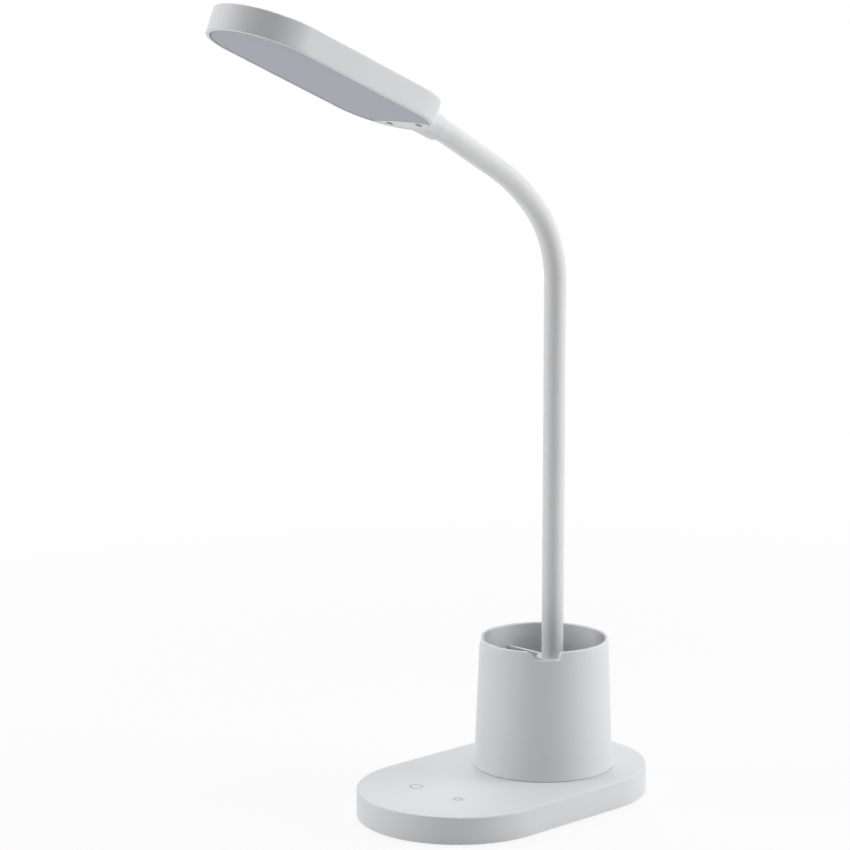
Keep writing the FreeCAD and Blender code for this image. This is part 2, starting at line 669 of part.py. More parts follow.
def diffuser():
    face = HEAD_LOW + PANEL_RECESS
    panel = head_slab(HEAD_LIP + PANEL_GAP, face, PANEL_TOP).cut(plate_disc(FIT))
    return panel.makeFillet(PANEL_EDGE, edges_at(panel, face))


def well_top():
    return HEAD_LOW + PLATE_RECESS + WELL_DEEP


def cover_plate():
    plate = head_slab(HEAD_LIP + FIT, HEAD_LOW + PLATE_RECESS, PANEL_TOP).common(plate_disc(-FIT))
    top = well_top()
    wells = [post(WELL_OUTER, HEAD_LOW + PLATE_RECESS, top, x, y) for x, y in plate_screw_places()]
    holes = [post(WELL_INNER, HEAD_LOW - 1, top - WELL_FLOOR, x, y) for x, y in plate_screw_places()]
    holes += [post(PLATE_SCREW["shank"] + HOLE / 2, HEAD_LOW, top + 1, x, y) for x, y in plate_screw_places()]
    return fuse_all([plate] + wells).cut(Part.makeCompound(holes))


def plate_screws():
    z = well_top() - WELL_FLOOR
    return [screw(PLATE_SCREW, Vector(x, y, z), UP) for x, y in plate_screw_places()]


def neck_clamp():
    """Strap that holds the neck's ferrule up in the housing's cradle."""
    y = head_y(PLATE_SCREW_DEPTH)
    between = 2 * (PLATE_SCREW_X - WELL_OUTER - FIT)
    strap = fuse_all([block(CLAMP_WIDE, CLAMP_LONG, well_top() + TOUCHING, -FIT, 0, y),
                      block(between, CLAMP_LONG, PANEL_TOP + FIT / 2, -FIT, 0, y)])
    strap = strap.common(head_slab(HEAD_WALL + FIT, HEAD_LOW, HEAD_TOP))
    cuts = [rod(FERRULE_RADIUS + THREAD, y + CLAMP_LONG, y - CLAMP_LONG)]
    cuts += [post(PLATE_SCREW["shank"] + HOLE / 2, HEAD_LOW, 1, *place) for place in plate_screw_places()]
    return strap.cut(Part.makeCompound(cuts))


def head_ferrule():
    body = rod(FERRULE_RADIUS, -SLEEVE_DEPTH - FIT, -FERRULE_DEPTH)
    return body.cut(rod(CORE_RADIUS + THREAD, 0, -FERRULE_DEPTH - 1))


def led_board():
    board = head_slab(HEAD_WALL + FIT, BOARD_FACE, HEAD_INNER_TOP)
    behind = block(3 * HEAD_RADIUS, 2 * LED_BOARD_BACK, BOARD_FACE - 1, HEAD_TOP, 0, head_y(0))
    holes = [post(LED_SCREW["shank"] + FIT, BOARD_FACE - 1, HEAD_TOP, x, y) for x, y in led_screw_places()]
    return board.cut(Part.makeCompound([behind] + holes))


def led_chips():
    middle = (LED_BOARD_BACK + HEAD_LENGTH - HEAD_WALL) / 2
    chips = []
    for row in range(LED_ROWS):
        for column in range(LED_COLUMNS):
            x = (row - (LED_ROWS - 1) / 2) * LED_PITCH_X
            y = head_y(middle + (column - (LED_COLUMNS - 1) / 2) * LED_PITCH_Y)
            chips.append(block(LED_WIDE, LED_LONG, BOARD_FACE - LED_HIGH, BOARD_FACE, x, y))
    return chips


def led_screws():
    return [screw(LED_SCREW, Vector(x, y, BOARD_FACE), UP) for x, y in led_screw_places()]


def head_leads():
    """Two wires from the cable's end, through the rib and onto the LED board."""
    radius = CABLE_RADIUS / 3
    wires = []
    for x in (-CABLE_RADIUS / 2, CABLE_RADIUS / 2):
        start = -FERRULE_DEPTH - 1.5
        up = head_y(RIB_BACK + RIB_THICK + 1)
        land = BOARD_FACE - radius - TOUCHING
        points = [Vector(x, start, 0), Vector(x, up, 0), Vector(x, up - 4, land), Vector(x, up - 8, land)]
        wires.append(pipe(rounded(points, 1.5), radius))
    return wires


# --- write every piece --------------------------------------------------
def write(name, shape):
    solids = shape if isinstance(shape, list) else [shape]
    whole = solids[0] if len(solids) == 1 else Part.makeCompound(solids)
    whole.exportStep("parts/" + name + ".step")
    print(name, len(whole.Solids), round(whole.Volume, 1), whole.isValid())


FIXED_PIECES = (
    base_shell, base_cover, foot_pad, weight_plate, cover_screws, control_board, board_screws, driver_chip,
    choke, capacitors, lead_sockets, touch_contacts, power_inlet, inlet_pin, inlet_lead, lamp_lead,
    organizer_cup, cup_divider, cup_screws, root_ferrule, root_nut)
HEAD_PIECES = (
    head_shell, diffuser, cover_plate, plate_screws, neck_clamp, head_ferrule, led_board, led_chips,
    led_screws, head_leads)


def main():
    os.makedirs("parts", exist_ok=True)
    for make in FIXED_PIECES:
        write(make.__name__, make())
    for number in range(HINGES + 1):
        for name, shape in zip(("sleeve", "core", "cable"), neck_layers(number)):
            write("neck_%s_%d" % (name, number), shape)
    place = Placement(neck_at(SOCKET_AT)[0], Rotation(Vector(1, 0, 0), -HEAD_PITCH))
    for make in HEAD_PIECES:
        made = make()
        solids = made if isinstance(made, list) else [made]
        for solid in solids:
            solid.Placement = place.multiply(solid.Placement)
        write(make.__name__, solids)


main()
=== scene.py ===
import json
import math
import bmesh
import bpy
from mathutils import Matrix, Vector


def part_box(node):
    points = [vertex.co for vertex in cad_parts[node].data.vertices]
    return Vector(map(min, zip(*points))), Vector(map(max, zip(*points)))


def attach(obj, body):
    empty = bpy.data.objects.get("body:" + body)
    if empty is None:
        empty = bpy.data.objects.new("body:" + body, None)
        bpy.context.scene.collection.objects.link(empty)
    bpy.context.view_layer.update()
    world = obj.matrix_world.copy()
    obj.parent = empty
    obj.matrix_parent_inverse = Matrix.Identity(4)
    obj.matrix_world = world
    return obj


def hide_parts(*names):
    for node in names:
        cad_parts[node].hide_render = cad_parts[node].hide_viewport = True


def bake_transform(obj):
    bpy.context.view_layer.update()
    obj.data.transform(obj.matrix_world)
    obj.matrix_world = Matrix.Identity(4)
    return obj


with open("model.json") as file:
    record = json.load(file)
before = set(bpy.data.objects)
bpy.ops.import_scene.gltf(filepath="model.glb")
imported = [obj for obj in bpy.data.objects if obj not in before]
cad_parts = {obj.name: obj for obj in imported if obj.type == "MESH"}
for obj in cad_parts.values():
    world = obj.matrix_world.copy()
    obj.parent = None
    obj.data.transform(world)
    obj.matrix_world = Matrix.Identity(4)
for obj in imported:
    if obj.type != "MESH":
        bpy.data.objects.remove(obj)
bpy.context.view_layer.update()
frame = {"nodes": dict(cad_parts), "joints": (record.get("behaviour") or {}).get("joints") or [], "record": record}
nodes = frame["nodes"]


class Value:
    # wraps one output socket, so that shader maths reads as plain arithmetic
    def __init__(self, owner, socket):
        self.owner = owner
        self.socket = socket

    def math(self, operation, *others):
        return self.owner.node("ShaderNodeMath", {"operation": operation}, [self, *others])

    def __add__(self, other): return self.math("ADD", other)
    def __radd__(self, other): return self.math("ADD", other)
    def __sub__(self, other): return self.math("SUBTRACT", other)
    def __rsub__(self, other): return (self * -1) + other
    def __mul__(self, other): return self.math("MULTIPLY", other)
    def __rmul__(self, other): return self.math("MULTIPLY", other)


class NodeTree:
    # makes every node: its settings are set first, then the values or links of its sockets
    def __init__(self, tree):
        self.tree = tree

    def node(self, kind, settings, sockets, output=0):
        made = self.tree.nodes.new(kind)
        for key, value in settings.items():
            setattr(made, key, value)
        for key, value in (sockets.items() if isinstance(sockets, dict) else enumerate(sockets)):
            if isinstance(value, Value):
                self.tree.links.new(value.socket, made.inputs[key])
            else:
                made.inputs[key].default_value = value
        return Value(self, made.outputs[output])


class Finish(NodeTree):
    # one material: its tree, its shader and the object coordinates that every pattern starts from
    def __init__(self, name, **constants):
        self.material = bpy.data.materials.new(name)
        self.material.use_nodes = True
        super().__init__(self.material.node_tree)
        self.shader = self.tree.nodes["Principled BSDF"]
        for socketName, value in constants.items():
            self.shader.inputs[socketName.replace("_", " ")].default_value = value
        self.place = self.node("ShaderNodeTexCoord", {}, {}, "Object")

    def noise(self, scale, detail, roughness=0.5, place=None):
        sockets = {"Vector": place or self.place, "Scale": scale, "Detail": detail, "Roughness": roughness}
        return self.node("ShaderNodeTexNoise", {}, sockets)

    def cells(self, scale):
        return self.node("ShaderNodeTexVoronoi", {}, {"Vector": self.place, "Scale": scale})

    def stretched(self, x, y, z):
        return self.node("ShaderNodeMapping", {}, {"Vector": self.place, "Scale": (x, y, z)})

    def colours(self, factor, first, second):
        # inputs 0, 6 and 7 are the factor and the two colours of a Mix node set to colour, output 2 its colour
        return self.node("ShaderNodeMix", {"data_type": "RGBA"}, {0: factor, 6: (*first, 1), 7: (*second, 1)}, 2)

    def bump(self, height, strength, distance, under=None):
        sockets = {"Height": height, "Strength": strength, "Distance": distance}
        if under:
            sockets["Normal"] = under
        return self.node("ShaderNodeBump", {}, sockets)

    def uneven(self, pattern, spread, middle):
        # the pattern runs from 0 to 1, the result swings by its spread about the middle
        return (pattern - 0.5) * spread + middle

    def feed(self, socketName, value):
        self.tree.links.new(value.socket, self.shader.inputs[socketName])


whiteCase = {
    "colour": (0.80, 0.815, 0.83), "shade": (0.765, 0.78, 0.80), "flowShare": 0.7,
    "gloss": 0.42, "roughness": 0.46, "spread": 0.10, "poreDepth": 0.35, "rippleDepth": 0.18, "grain": 7e-5,
    # scale, detail and roughness of each noise, and the scale of the pores
    "flow": (14, 3, 0.55), "speck": (900, 2, 0.6), "wear": (30, 4), "ripple": (260, 3), "pores": 1500,
}


def caseFinish(name, settings):
    # spark-eroded ABS: fine even grain, faint flow marks, a little more shine where hands rub it
    finish = Finish(name, Specular_IOR_Level=settings["gloss"])
    flow, speck = finish.noise(*settings["flow"]), finish.noise(*settings["speck"])
    mottle = flow * settings["flowShare"] + speck * (1 - settings["flowShare"])
    finish.feed("Base Color", finish.colours(mottle, settings["shade"], settings["colour"]))
    wear = finish.noise(*settings["wear"])
    finish.feed("Roughness", finish.uneven(wear, settings["spread"], settings["roughness"]))
    pores = finish.bump(finish.cells(settings["pores"]), settings["poreDepth"], settings["grain"])
    ripple = finish.noise(*settings["ripple"])
    finish.feed("Normal", finish.bump(ripple, settings["rippleDepth"], settings["grain"], pores))
    return finish.material


siliconeSkin = {
    "colour": (0.86, 0.865, 0.87), "shade": (0.80, 0.805, 0.815),
    "gloss": 0.35, "velvet": 0.12, "velvetRough": 0.5, "roughness": 0.52, "spread": 0.12,
    "cloud": (22, 4, 0.6), "wear": (60, 3), "ripple": (700, 3), "rippleDepth": 0.22, "grain": 4e-5,
}


def siliconeFinish(name, settings):
    # soft silicone: cloudy, matt, with a faint velvet edge
    finish = Finish(name, Specular_IOR_Level=settings["gloss"], Sheen_Weight=settings["velvet"],
                    Sheen_Roughness=settings["velvetRough"])
    cloud = finish.noise(*settings["cloud"])
    finish.feed("Base Color", finish.colours(cloud, settings["shade"], settings["colour"]))
    wear = finish.noise(*settings["wear"])
    finish.feed("Roughness", finish.uneven(wear, settings["spread"], settings["roughness"]))
    ripple = finish.noise(*settings["ripple"])
    finish.feed("Normal", finish.bump(ripple, settings["rippleDepth"], settings["grain"]))
    return finish.material


milkyPanelPaintedShade = {
    # both tones are painted shade: the pale opal's own colour darkened to the shade its downward face lies in
    "colour": (0.35, 0.38, 0.44), "shade": (0.325, 0.355, 0.42),
    "gloss": 0.45, "roughness": 0.38, "spread": 0.08,
    "cloud": (18, 2, 0.5), "wear": (80, 3), "prisms": 1100, "prismDepth": 0.25, "grain": 5e-5,
}


def diffuserFinish(name, settings):
    # opal acrylic with a very fine prismatic texture; its two tones are painted shade, darkened far below the pale
    # opal for the shade on its downward face
    finish = Finish(name, Specular_IOR_Level=settings["gloss"])
    cloud = finish.noise(*settings["cloud"])
    finish.feed("Base Color", finish.colours(cloud, settings["shade"], settings["colour"]))
    wear = finish.noise(*settings["wear"])
    finish.feed("Roughness", finish.uneven(wear, settings["spread"], settings["roughness"]))
    prisms = finish.cells(settings["prisms"])
    finish.feed("Normal", finish.bump(prisms, settings["prismDepth"], settings["grain"]))
    return finish.material


metals = {
    "zincSteel": {"light": (0.60, 0.61, 0.63), "dark": (0.42, 0.43, 0.45), "rough": 0.34, "metallic": 1.0},
    "blackSteel": {"light": (0.02, 0.02, 0.022), "dark": (0.008, 0.008, 0.009), "rough": 0.62, "metallic": 0.3},
    "turnedBrass": {"light": (0.76, 0.60, 0.30), "dark": (0.55, 0.41, 0.19), "rough": 0.3, "metallic": 1.0},
    "boardWhite": {"light": (0.86, 0.87, 0.87), "dark": (0.78, 0.79, 0.80), "rough": 0.4, "metallic": 0.0},
}
metalGrain = {
    "streaks": (1, 5, 0.6), "stretch": (900, 900, 40), "stains": (60, 3, 0.6), "streakShare": 0.6,
    "streakRough": 0.16, "stainRough": 0.08, "polish": 0.1, "depth": 0.15, "grain": 2e-5,
}


def metalFinish(name, settings, grain):
    # drawn along its length: long fine streaks in colour, roughness and height
    finish = Finish(name, Metallic=settings["metallic"])
    streak = finish.noise(*grain["streaks"], finish.stretched(*grain["stretch"]))
    stain = finish.noise(*grain["stains"])
    tone = streak * grain["streakShare"] + stain * (1 - grain["streakShare"])
    finish.feed("Base Color", finish.colours(tone, settings["dark"], settings["light"]))
    rough = streak * grain["streakRough"] + stain * grain["stainRough"]
    finish.feed("Roughness", rough + (settings["rough"] - grain["polish"]))
    finish.feed("Normal", finish.bump(streak, grain["depth"], grain["grain"]))
    return finish.material


plainStuffs = {
    "padRubber": {"light": (0.055, 0.056, 0.06), "dark": (0.03, 0.03, 0.034), "rough": 0.78, "grain": 500},
    "boardMask": {"light": (0.03, 0.19, 0.08), "dark": (0.02, 0.11, 0.05), "rough": 0.36, "grain": 900},
    "chipEpoxy": {"light": (0.035, 0.035, 0.038), "dark": (0.018, 0.018, 0.02), "rough": 0.55, "grain": 1300},
    "ferrite": {"light": (0.13, 0.13, 0.14), "dark": (0.07, 0.07, 0.08), "rough": 0.6, "grain": 800},
    "sleeveFilm": {"light": (0.05, 0.06, 0.13), "dark": (0.03, 0.035, 0.08), "rough": 0.25, "grain": 300},
    "contactFoam": {"light": (0.30, 0.30, 0.31), "dark": (0.14, 0.14, 0.15), "rough": 0.9, "grain": 1100},
    "leadJacket": {"light": (0.80, 0.80, 0.79), "dark": (0.72, 0.72, 0.71), "rough": 0.5, "grain": 700},
    "phosphor": {"light": (0.90, 0.76, 0.22), "dark": (0.80, 0.62, 0.14), "rough": 0.3, "grain": 1500},
    "inkGrey": {"light": (0.30, 0.32, 0.34), "dark": (0.22, 0.24, 0.26), "rough": 0.5, "grain": 1800},
}
plainGrain = {
    # the clouds of tone and of wear are this many times as large as the stuff's own grain
    "toneSize": 12, "tone": (4, 0.6), "wearSize": 6, "wear": (2, 0.5),
    "spread": 0.14, "fine": (3, 0.5), "depth": 0.3, "grain": 4e-5,
}


def plainFinish(name, settings, grain):
    # moulded, coated or foamed stuff: two close tones, cloudy roughness and a grain of its own scale
    finish = Finish(name)
    tone = finish.noise(settings["grain"] / grain["toneSize"], *grain["tone"])
    finish.feed("Base Color", finish.colours(tone, settings["dark"], settings["light"]))
    wear = finish.noise(settings["grain"] / grain["wearSize"], *grain["wear"])
    finish.feed("Roughness", finish.uneven(wear, grain["spread"], settings["rough"]))
    fine = finish.noise(settings["grain"], *grain["fine"])
    finish.feed("Normal", finish.bump(fine, grain["depth"], grain["grain"]))
    return finish.material


finishes = {"caseWhite": caseFinish("caseWhite", whiteCase),
            "siliconeWhite": siliconeFinish("siliconeWhite", siliconeSkin),
            "opalPanel": diffuserFinish("opalPanel", milkyPanelPaintedShade)}
for name, settings in metals.items():
    finishes[name] = metalFinish(name, settings, metalGrain)
for name, settings in plainStuffs.items():
    finishes[name] = plainFinish(name, settings, plainGrain)

finishOfSlot = {
    "white_plastic": "caseWhite", "diffuser": "opalPanel", "silicone": "siliconeWhite",
    "pad_rubber": "padRubber", "steel": "zincSteel", "screw_steel": "blackSteel", "brass": "turnedBrass",
    "board_green": "boardMask", "board_white": "boardWhite", "black_plastic": "chipEpoxy",
    "led": "phosphor", "ferrite": "ferrite", "capacitor": "sleeveFilm", "foam": "contactFoam",
    "cable_white": "leadJacket",
}
for entry in frame["record"]["subparts"]:
    material = finishes[finishOfSlot[entry["material_slot"]]]
    mesh = nodes[entry["node"]].data
    mesh.materials.clear()
    mesh.materials.append(material)
print("finishes made:", len(finishes))


def meshPiece(name, mesh, material, body=None):
    piece = bpy.data.objects.new(name, mesh)
    bpy.context.scene.collection.objects.link(piece)
    if not mesh.materials:
        mesh.materials.append(material)
    if body:
        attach(piece, body)
    return piece


class Geometry(NodeTree):
    # one Geometry Nodes tree with named inputs, whose result is kept as a plain mesh
    def __init__(self, name, inputs):
        super().__init__(bpy.data.node_groups.new(name, "GeometryNodeTree"))
        face = self.tree.interface
        face.new_socket(name="Geometry", in_out="INPUT", socket_type="NodeSocketGeometry")
        for label, kind in inputs.items():
            face.new_socket(name=label, in_out="INPUT", socket_type="NodeSocket" + kind)
        face.new_socket(name="Geometry", in_out="OUTPUT", socket_type="NodeSocketGeometry")
        source = self.tree.nodes.new("NodeGroupInput").outputs
        self.source = {socket.name: Value(self, socket) for socket in source}
        self.drain = self.tree.nodes.new("NodeGroupOutput").inputs

    def close(self, geometry, material):
        real = self.node("GeometryNodeRealizeInstances", {}, {"Geometry": geometry})
        done = self.node("GeometryNodeSetMaterial", {}, {"Geometry": real, "Material": material})
        self.tree.links.new(done.socket, self.drain[0])

    def run(self, name, mesh, values, finisher=None):
        carrier = bpy.data.objects.new(name + ".carrier", mesh)
        bpy.context.scene.collection.objects.link(carrier)
        modifier = carrier.modifiers.new("shape", "NODES")
        modifier.node_group = self.tree
        for item in self.tree.interface.items_tree:
            if item.in_out == "INPUT" and item.name in values:
                modifier[item.identifier] = values[item.name]
        if finisher:
            finisher(carrier)
        bpy.context.view_layer.update()
        evaluated = carrier.evaluated_get(bpy.context.evaluated_depsgraph_get())
        made = bpy.data.meshes.new_from_object(evaluated)
        made.name = name
        bpy.data.objects.remove(carrier)
        return made


def strokeMesh(name, strokes):
    # each stroke is a chain of points joined by edges
    points, links = [], []
    for stroke in strokes:
        links += [(len(points) + i, len(points) + i + 1) for i in range(len(stroke) - 1)]
        points += [tuple(p) for p in stroke]
    mesh = bpy.data.meshes.new(name)
    mesh.from_pydata(points, links, [])
    return mesh


# closer points than these are one, in metres, and edges that turn by more than the angle are sharp, in radians
joining = {"made": 1e-7, "cad": 1e-6, "sharpAngle": 0.6}


def orient(mesh):
    # faces of a closed mesh point outwards, and its true corners stay crisp
    work = bmesh.new()
    work.from_mesh(mesh)
    bmesh.ops.remove_doubles(work, verts=work.verts, dist=joining["made"])
    bmesh.ops.recalc_face_normals(work, faces=work.faces)
    for edge in work.edges:
        edge.smooth = len(edge.link_faces) == 2 and edge.calc_face_angle() < joining["sharpAngle"]
    for face in work.faces:
        face.smooth = True
    work.to_mesh(mesh)
    work.free()


neck = {
    "y": 0.00665, "radius": 0.0059, "bore": 0.00375, "straightTop": 0.2789,
    # each bend is a radius in metres and a turn in degrees
    "bends": ((0.060, 42.7), (0.1174, 18.5)), "run": 0.0367, "lastBend": (0.1174, 5.7),
    "bottom": 0.0302, "socketDepth": 0.0053, "spacing": 0.0016, "hair": 0.00006, "sides": 64,
    "fewestSteps": 8, "searchSteps": 4000,
}


def neckRuns():
    # length and radius of each stretch of the centre line, from the table up into the head
    runs = [(neck["straightTop"], None)]
    runs += [(radius * math.radians(turn), radius) for radius, turn in neck["bends"]]
    runs.append((neck["run"], None))
    radius, turn = neck["lastBend"]
    runs.append((radius * math.radians(turn), radius))
    return runs


def neckLength():
    return sum(length for length, radius in neckRuns())


def neckPoint(along):
    # point of the centre line at this distance from the table, and straight on past its end
    y, z, lean = neck["y"], 0.0, 0.0
    for length, radius in neckRuns() + [(1.0, None)]:
        step = min(along, length)
        if radius is None:
            y -= step * math.sin(lean)
            z += step * math.cos(lean)
        else:
            turn = step / radius
            y -= radius * (math.cos(lean) - math.cos(lean + turn))
            z += radius * (math.sin(lean + turn) - math.sin(lean))
            lean += turn
        along -= step
        if along <= 0:
            break
    return Vector((0, y, z))


def hingePlaces():
    # how far along the centre line each hinge of the frame lies
    steps = neck["searchSteps"]
    places = [neckLength() * i / steps for i in range(steps + 1)]
    points = [neckPoint(along) for along in places]
    found = []
    for joint in frame["joints"]:
        hinge = Vector(joint["pos_m"])
        away = [(point - hinge).length for point in points]
        found.append(places[away.index(min(away))])
    return found


def tubeTree(name, material):
    # a centre line of mesh edges becomes a smooth tube
    tree = Geometry(name, {"Radius": "Float", "Sides": "Int", "Capped": "Bool"})
    line = tree.node("GeometryNodeMeshToCurve", {}, {"Mesh": tree.source["Geometry"]})
    outline = {"Resolution": tree.source["Sides"], "Radius": tree.source["Radius"]}
    ring = tree.node("GeometryNodeCurvePrimitiveCircle", {}, outline)
    sockets = {"Curve": line, "Profile Curve": ring, "Fill Caps": tree.source["Capped"]}
    tube = tree.node("GeometryNodeCurveToMesh", {}, sockets)
    smooth = tree.node("GeometryNodeSetShadeSmooth", {}, {"Geometry": tube})
    tree.close(smooth, finishes[material])
    return tree


def sleeveWall(carrier):
    # the wall grows inwards from the outer skin
    wall = carrier.modifiers.new("wall", "SOLIDIFY")
    wall.thickness = neck["radius"] - neck["bore"]
    wall.offset = -1
    wall.use_even_offset = True


def makeSleeve():
    # one smooth length across each hinge, cut half way between hinges
    tree = tubeTree("sleeveTube", "siliconeWhite")
    hinges = hingePlaces()
    top = neckLength() + neck["socketDepth"]
    middles = [(a + b) / 2 for a, b in zip(hinges, hinges[1:])]
    cuts = [neck["bottom"]] + middles + [top]
    for number, joint in enumerate(frame["joints"]):
        low, high = cuts[number], cuts[number + 1]
        count = max(neck["fewestSteps"], round((high - low) / neck["spacing"]))
        places = [low + (high - low) * i / count for i in range(count + 1)]
        # a hair of a step at both ends puts the end rings of two neighbours in one plane
        places[1:1], places[-1:-1] = [low + neck["hair"]], [high - neck["hair"]]
        line = [neckPoint(place) for place in places]
        name = "neck_sleeve_bend_%d" % (number + 1)
        values = {"Radius": neck["radius"], "Sides": neck["sides"], "Capped": False}
        mesh = tree.run(name, strokeMesh(name + ".line", [line]), values, sleeveWall)
        orient(mesh)
        piece = meshPiece(name, mesh, finishes["siliconeWhite"])
        reach = (hinges[1] - hinges[0]) / 2
        start = neckPoint(hinges[number] - reach)
        end = neckPoint(hinges[number] + reach)
        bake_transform(piece)
        replaced = ["neck_sleeve_%d" % number]
        if number == len(hinges) - 1:
            replaced.append("neck_sleeve_%d" % (number + 1))
        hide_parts(*replaced)


makeSleeve()


# a dark cord laid in the gap round the diffuser: painted shadow for the shade in that recess
gapShadowCord = {
    "gap": 0.00035, "cord": 0.00024, "sunk": 0.00036, "straight": 0.0796, "tilt": 23.1, "slack": 0.00002,
    "steps": 36, "sides": 10,
}


def gapShadowPath(settings):
    # middle of the gap round the diffuser, from one corner of the cover plate to the other
    tilt = math.radians(settings["tilt"])
    side, up = Vector((1, 0, 0)), Vector((0, math.sin(tilt), math.cos(tilt)))
    back = up.cross(side)
    verts = [vert.co for vert in nodes["diffuser"].data.vertices]
    spots = [(co.dot(side), co.dot(back), co.dot(up)) for co in verts]
    radius = max(spot[0] for spot in spots)
    front = min(spot[1] for spot in spots) + radius
    rear = front + settings["straight"]
    level = min(spot[2] for spot in spots) + settings["sunk"]
    corner = min(math.atan2(abs(x), y - rear) for x, y, z in spots
                 if y > rear and math.hypot(x, y - rear) > radius - settings["slack"])
    ring = radius + settings["gap"] / 2
    arcs = [(rear, corner, math.pi / 2), (front, math.pi / 2, math.pi * 1.5),
            (rear, math.pi * 1.5, math.pi * 2 - corner)]
    path = []
    for middle, first, last in arcs:
        for step in range(settings["steps"] + 1):
            turn = first + (last - first) * step / settings["steps"]
            path.append(side * ring * math.sin(turn) + back * (middle + ring * math.cos(turn)) + up * level)
    return path


def makeGapShadowCord():
    # a thin dark cord in the gap, painted shadow standing in for the shade in the recess round the diffuser, open
    # where the cover plate begins
    values = {"Radius": gapShadowCord["cord"], "Sides": gapShadowCord["sides"], "Capped": True}
    line = strokeMesh("panel_seal.line", [gapShadowPath(gapShadowCord)])
    mesh = tubeTree("sealCord", "padRubber").run("panel_seal", line, values)
    orient(mesh)
    meshPiece("panel_seal", mesh, finishes["padRubber"], "head")
    print("gap shadow cord made")


makeGapShadowCord()


marks = {
    "powerX": -0.0157, "lightX": 0.0157, "y": -0.0811, "line": 0.00052, "ink": 0.00006, "sunk": 0.00003,
    "powerRadius": 0.0033, "powerGap": 34, "powerSteps": 48, "barFrom": 0.0017, "barTo": 0.0042,
    "sunRadius": 0.0018, "sunSteps": 36, "rays": 8, "rayFrom": 0.0026, "rayTo": 0.0037,
}


def arcPoints(centre, radius, first, last, steps):
    # angles in degrees, counted from the rear, so that a gap can open that way
    turns = [math.radians(first + (last - first) * i / steps) for i in range(steps + 1)]
    return [centre + Vector((math.sin(t), math.cos(t), 0)) * radius for t in turns]


def inkTree():
    # strokes of edges become flat closed bands of ink
    tree = Geometry("inkBand", {"Line": "Float", "Ink": "Float"})
    line = tree.node("GeometryNodeMeshToCurve", {}, {"Mesh": tree.source["Geometry"]})
    level = tree.node("GeometryNodeSetCurveNormal", {"mode": "Z_UP"}, {"Curve": line})
    section = {0: tree.source["Line"], 1: tree.source["Ink"]}
    band = tree.node("GeometryNodeCurvePrimitiveQuadrilateral", {}, section)
    sockets = {"Curve": level, "Profile Curve": band, "Fill Caps": True}
    solid = tree.node("GeometryNodeCurveToMesh", {}, sockets)
    tree.close(solid, finishes["inkGrey"])
    return tree


def makeMarks():
    tree = inkTree()
    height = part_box("base_shell")[1][2] + marks["ink"] / 2 - marks["sunk"]
    power = Vector((marks["powerX"], marks["y"], height))
    sun = Vector((marks["lightX"], marks["y"], height))
    gap = marks["powerGap"]
    rear = Vector((0, 1, 0))
    strokes = {
        "power_mark": [arcPoints(power, marks["powerRadius"], gap, 360 - gap, marks["powerSteps"]),
                       [power + rear * marks["barFrom"], power + rear * marks["barTo"]]],
        "light_mark": [arcPoints(sun, marks["sunRadius"], 0, 360, marks["sunSteps"])],
    }
    for number in range(marks["rays"]):
        turn = 2 * math.pi * number / marks["rays"]
        ray = Vector((math.sin(turn), math.cos(turn), 0))
        strokes["light_mark"].append([sun + ray * marks["rayFrom"], sun + ray * marks["rayTo"]])
    for name, drawn in strokes.items():
        values = {"Line": marks["line"], "Ink": marks["ink"]}
        mesh = tree.run(name, strokeMesh(name + ".line", drawn), values)
        orient(mesh)
        piece = meshPiece(name, mesh, finishes["inkGrey"], "base")
    print("touch marks:", len(strokes))


makeMarks()


screws = {
    "cover_screws": {"body": "base", "tilt": 0.0, "high": 0.0012, "shank": 0.00125, "pitch": 0.0007},
    "plate_screws": {"body": "head", "tilt": 23.1, "high": 0.0012, "shank": 0.001, "pitch": 0.0006},
}
screwShape = {
    "sides": 32, "domeSteps": 6,
    # shares of the head's radius and height
    "dome": 0.42, "rim": 0.8, "underside": 0.97,
    "crossWide": 0.30, "crossReach": 0.62, "crossDeep": 0.62, "crossOver": 0.1,
    "crossTop": 1.06, "crossFoot": 0.45, "crossKeep": 0.6,
    # shares of the shank's radius and the thread's pitch
    "root": 0.80, "groove": 0.25, "crest": 0.6, "point": 1.5,
}


def solidSpots(nodeName, axis):
    # centre of each solid's outer end, with its radius and its length along the axis, in the mesh's own order
    work = bmesh.new()
    work.from_mesh(nodes[nodeName].data)
    bmesh.ops.remove_doubles(work, verts=work.verts, dist=joining["cad"])
    side = Vector((1, 0, 0))
    across = axis.cross(side)
    left = set(work.verts)
    spots = []
    for start in work.verts:
        if start not in left:
            continue
        left.discard(start)
        island, queue = set(), [start]
        while queue:
            vert = queue.pop()
            island.add(vert)
            for edge in vert.link_edges:
                other = edge.other_vert(vert)
                if other in left:
                    left.discard(other)
                    queue.append(other)
        reach = [[vert.co.dot(way) for vert in island] for way in (side, across, axis)]
        middle = [(min(r) + max(r)) / 2 for r in reach]
        centre = side * middle[0] + across * middle[1] + axis * min(reach[2])
        spots.append((centre, (max(reach[0]) - min(reach[0])) / 2, max(reach[2]) - min(reach[2])))
    work.free()
    return spots


